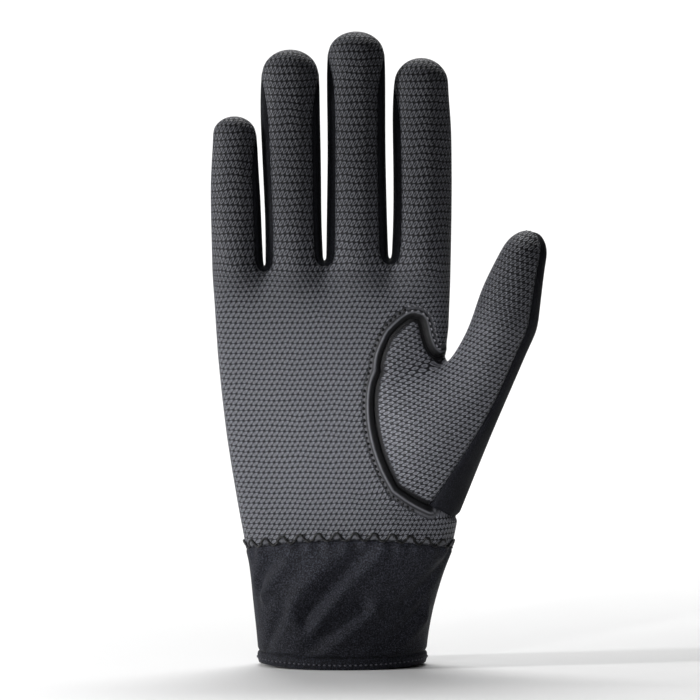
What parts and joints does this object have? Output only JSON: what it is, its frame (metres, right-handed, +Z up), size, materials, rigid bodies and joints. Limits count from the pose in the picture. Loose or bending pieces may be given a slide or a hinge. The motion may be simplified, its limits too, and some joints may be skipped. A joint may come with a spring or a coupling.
{
  "type": "sport glove",
  "caption": "Right-hand sport glove with an embossed synthetic-leather palm, smooth stretch back and finger side strips, set-in thumb and a short pull-on cuff with a stitched hem.",
  "frame": {"origin": "middle of the cuff's opening, level with the lowest edge of the hem", "axes": "+Z up to the fingertips, -Y out of the palm, +X to the thumb's side"},
  "size_m": [0.1251, 0.0456, 0.2354],
  "materials": {
    "palm_panel": "embossed synthetic leather, satin",
    "back_panel": "smooth matt stretch knit",
    "fourchette_little_ring": "smooth stretch fabric",
    "fourchette_ring_middle": "smooth stretch fabric",
    "fourchette_middle_index": "smooth stretch fabric",
    "thumb_panel": "embossed synthetic leather, satin",
    "thumb_back": "smooth stretch fabric",
    "cuff": "fine stretch fabric with a soft sheen",
    "cuff_hem": "folded fabric with a row of stitches"
  },
  "bodies": {
    "root": {"palm_panel": "palm_panel", "back_panel": "back_panel", "fourchette_little_ring": "fourchette_little_ring", "fourchette_ring_middle": "fourchette_ring_middle", "fourchette_middle_index": "fourchette_middle_index", "thumb_panel": "thumb_panel", "thumb_back": "thumb_back", "cuff": "cuff", "cuff_hem": "cuff_hem"}
  },
  "joints": []
}
